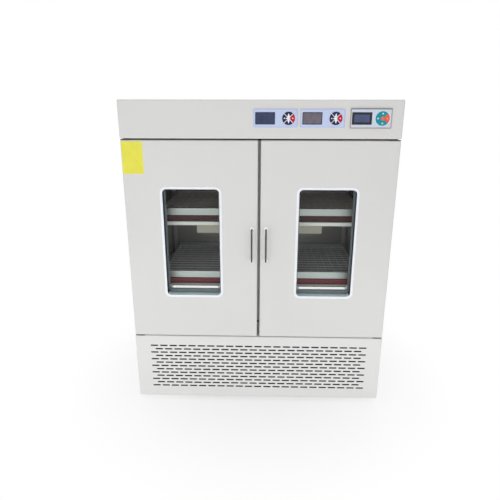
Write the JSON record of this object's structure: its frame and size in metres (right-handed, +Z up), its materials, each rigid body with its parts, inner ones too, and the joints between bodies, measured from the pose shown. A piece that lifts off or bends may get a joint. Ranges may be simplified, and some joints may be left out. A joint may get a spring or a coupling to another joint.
{
  "type": "two-door shaking incubator",
  "caption": "Floor-standing two-door incubator with windowed doors, a control fascia, a slotted lower panel and orbital shaker trays inside.",
  "frame": {"origin": "on the ground under the middle of the cabinet's width and depth", "axes": "+X to the right seen from the front, -Y out of the doors, +Z up"},
  "size_m": [1.2, 0.793, 1.45],
  "materials": {
    "shell_paint": "satin",
    "door_liner": "satin",
    "stainless": "satin",
    "tray_steel": "satin",
    "chassis_steel": "satin",
    "foam": "matte",
    "foot_rubber": "matte",
    "inlet_plastic": "matte",
    "coil_aluminium": "satin",
    "blower_steel": "satin",
    "motor_paint": "satin",
    "fan_plastic": "satin",
    "controller_plastic": "satin",
    "display_glass": "gloss",
    "trim_plastic": "satin",
    "window_glass": "gloss",
    "seal_rubber": "matte",
    "handle_chrome": "polished",
    "base_paint": "satin",
    "belt_rubber": "matte",
    "machined_steel": "satin",
    "carrier_red": "satin",
    "spring_steel": "satin",
    "key_navy": "satin",
    "key_red": "satin",
    "key_teal": "satin",
    "key_orange": "satin"
  },
  "bodies": {
    "root": {"outer_shell": "shell_paint", "back_panel": "shell_paint", "base_chassis": "chassis_steel", "insulation": "foam", "chamber_liner": "stainless", "front_frame": "shell_paint", "fascia": "shell_paint", "slotted_panel": "shell_paint", "levelling_feet": "foot_rubber", "hinge_brackets": "chassis_steel", "power_inlet": "inlet_plastic", "duct_cover": "stainless", "air_coils": "coil_aluminium", "fan_motors": "motor_paint", "condensing_unit": "motor_paint", "controller_panels": "controller_plastic", "controller_displays": "display_glass", "shaker_bases": "base_paint", "shaker_motors": "motor_paint", "drive_belts": "belt_rubber"},
    "left_door": {"left_door_shell": "shell_paint", "left_door_liner": "door_liner", "left_window_frame": "trim_plastic", "left_window_panes": "window_glass", "left_door_gasket": "seal_rubber", "left_door_handle": "handle_chrome"},
    "right_door": {"right_door_shell": "shell_paint", "right_door_liner": "door_liner", "right_window_frame": "trim_plastic", "right_window_panes": "window_glass", "right_door_gasket": "seal_rubber", "right_door_handle": "handle_chrome"},
    "upper_motor": {"upper_motor_pulley": "machined_steel"},
    "upper_crank": {"upper_main_crank": "machined_steel"},
    "upper_left_idler": {"upper_left_crank": "machined_steel"},
    "upper_right_idler": {"upper_right_crank": "machined_steel"},
    "upper_platform": {"upper_carrier": "carrier_red", "upper_tray": "tray_steel", "upper_spring_grid": "spring_steel"},
    "lower_motor": {"lower_motor_pulley": "machined_steel"},
    "lower_crank": {"lower_main_crank": "machined_steel"},
    "lower_left_idler": {"lower_left_crank": "machined_steel"},
    "lower_right_idler": {"lower_right_crank": "machined_steel"},
    "lower_platform": {"lower_carrier": "carrier_red", "lower_tray": "tray_steel", "lower_spring_grid": "spring_steel"},
    "blower": {"blower_wheel": "blower_steel"},
    "fan": {"condenser_fan": "fan_plastic"},
    "upper_speed_key_up_body": {"upper_speed_key_up": "key_navy"},
    "upper_speed_key_left_body": {"upper_speed_key_left": "key_navy"},
    "upper_speed_key_down_body": {"upper_speed_key_down": "key_navy"},
    "upper_speed_key_right_body": {"upper_speed_key_right": "key_red"},
    "lower_speed_key_up_body": {"lower_speed_key_up": "key_navy"},
    "lower_speed_key_left_body": {"lower_speed_key_left": "key_navy"},
    "lower_speed_key_down_body": {"lower_speed_key_down": "key_navy"},
    "lower_speed_key_right_body": {"lower_speed_key_right": "key_red"},
    "temperature_key_up_body": {"temperature_key_up": "key_teal"},
    "temperature_key_left_body": {"temperature_key_left": "key_teal"},
    "temperature_key_down_body": {"temperature_key_down": "key_teal"},
    "temperature_key_right_body": {"temperature_key_right": "key_orange"}
  },
  "joints": [
    {"name": "left_door_hinge", "type": "hinge", "parent": "root", "child": "left_door", "pos_m": [-0.587, -0.3415, 0.358], "axis": [0, 0, -1], "range_deg": [0, 110]},
    {"name": "right_door_hinge", "type": "hinge", "parent": "root", "child": "right_door", "pos_m": [0.587, -0.3415, 0.358], "axis": [0, 0, 1], "range_deg": [0, 110]},
    {"name": "upper_crank_spin", "type": "hinge", "parent": "root", "child": "upper_crank", "pos_m": [0, 0.0485, 0.888], "axis": [0, 0, 1], "continuous": true},
    {"name": "upper_platform_pivot", "type": "hinge", "parent": "upper_crank", "child": "upper_platform", "pos_m": [0.013, 0.0485, 0.928], "axis": [0, 0, 1], "continuous": true},
    {"name": "upper_left_idler_spin", "type": "hinge", "parent": "root", "child": "upper_left_idler", "pos_m": [-0.27, -0.0515, 0.888], "axis": [0, 0, 1], "continuous": true},
    {"name": "upper_right_idler_spin", "type": "hinge", "parent": "root", "child": "upper_right_idler", "pos_m": [0.27, -0.0515, 0.888], "axis": [0, 0, 1], "continuous": true},
    {"name": "upper_motor_spin", "type": "hinge", "parent": "root", "child": "upper_motor", "pos_m": [-0.18, 0.0485, 0.838], "axis": [0, 0, 1], "continuous": true},
    {"name": "lower_crank_spin", "type": "hinge", "parent": "root", "child": "lower_crank", "pos_m": [0, 0.0485, 0.577], "axis": [0, 0, 1], "continuous": true},
    {"name": "lower_platform_pivot", "type": "hinge", "parent": "lower_crank", "child": "lower_platform", "pos_m": [0.013, 0.0485, 0.617], "axis": [0, 0, 1], "continuous": true},
    {"name": "lower_left_idler_spin", "type": "hinge", "parent": "root", "child": "lower_left_idler", "pos_m": [-0.27, -0.0515, 0.577], "axis": [0, 0, 1], "continuous": true},
    {"name": "lower_right_idler_spin", "type": "hinge", "parent": "root", "child": "lower_right_idler", "pos_m": [0.27, -0.0515, 0.577], "axis": [0, 0, 1], "continuous": true},
    {"name": "lower_motor_spin", "type": "hinge", "parent": "root", "child": "lower_motor", "pos_m": [-0.18, 0.0485, 0.527], "axis": [0, 0, 1], "continuous": true},
    {"name": "blower_spin", "type": "hinge", "parent": "root", "child": "blower", "pos_m": [0, 0.2965, 1.085], "axis": [0, 1, 0], "continuous": true},
    {"name": "condenser_fan_spin", "type": "hinge", "parent": "root", "child": "fan", "pos_m": [0.23, -0.1685, 0.136], "axis": [0, 1, 0], "continuous": true},
    {"name": "upper_speed_key_up_press", "type": "slide", "parent": "root", "child": "upper_speed_key_up_body", "axis": [0, 1, 0], "range_m": [0, 0.001], "stiffness_N_per_m": 300},
    {"name": "upper_speed_key_left_press", "type": "slide", "parent": "root", "child": "upper_speed_key_left_body", "axis": [0, 1, 0], "range_m": [0, 0.001], "stiffness_N_per_m": 300},
    {"name": "upper_speed_key_down_press", "type": "slide", "parent": "root", "child": "upper_speed_key_down_body", "axis": [0, 1, 0], "range_m": [0, 0.001], "stiffness_N_per_m": 300},
    {"name": "upper_speed_key_right_press", "type": "slide", "parent": "root", "child": "upper_speed_key_right_body", "axis": [0, 1, 0], "range_m": [0, 0.001], "stiffness_N_per_m": 300},
    {"name": "lower_speed_key_up_press", "type": "slide", "parent": "root", "child": "lower_speed_key_up_body", "axis": [0, 1, 0], "range_m": [0, 0.001], "stiffness_N_per_m": 300},
    {"name": "lower_speed_key_left_press", "type": "slide", "parent": "root", "child": "lower_speed_key_left_body", "axis": [0, 1, 0], "range_m": [0, 0.001], "stiffness_N_per_m": 300},
    {"name": "lower_speed_key_down_press", "type": "slide", "parent": "root", "child": "lower_speed_key_down_body", "axis": [0, 1, 0], "range_m": [0, 0.001], "stiffness_N_per_m": 300},
    {"name": "lower_speed_key_right_press", "type": "slide", "parent": "root", "child": "lower_speed_key_right_body", "axis": [0, 1, 0], "range_m": [0, 0.001], "stiffness_N_per_m": 300},
    {"name": "temperature_key_up_press", "type": "slide", "parent": "root", "child": "temperature_key_up_body", "axis": [0, 1, 0], "range_m": [0, 0.001], "stiffness_N_per_m": 300},
    {"name": "temperature_key_left_press", "type": "slide", "parent": "root", "child": "temperature_key_left_body", "axis": [0, 1, 0], "range_m": [0, 0.001], "stiffness_N_per_m": 300},
    {"name": "temperature_key_down_press", "type": "slide", "parent": "root", "child": "temperature_key_down_body", "axis": [0, 1, 0], "range_m": [0, 0.001], "stiffness_N_per_m": 300},
    {"name": "temperature_key_right_press", "type": "slide", "parent": "root", "child": "temperature_key_right_body", "axis": [0, 1, 0], "range_m": [0, 0.001], "stiffness_N_per_m": 300}
  ],
  "couplings": [
    {"joint": "upper_platform_pivot", "follows": "upper_crank_spin", "ratio": -1},
    {"joint": "upper_left_idler_spin", "follows": "upper_crank_spin", "ratio": 1},
    {"joint": "upper_right_idler_spin", "follows": "upper_crank_spin", "ratio": 1},
    {"joint": "upper_motor_spin", "follows": "upper_crank_spin", "ratio": 3},
    {"joint": "lower_platform_pivot", "follows": "lower_crank_spin", "ratio": -1},
    {"joint": "lower_left_idler_spin", "follows": "lower_crank_spin", "ratio": 1},
    {"joint": "lower_right_idler_spin", "follows": "lower_crank_spin", "ratio": 1},
    {"joint": "lower_motor_spin", "follows": "lower_crank_spin", "ratio": 3}
  ]
}
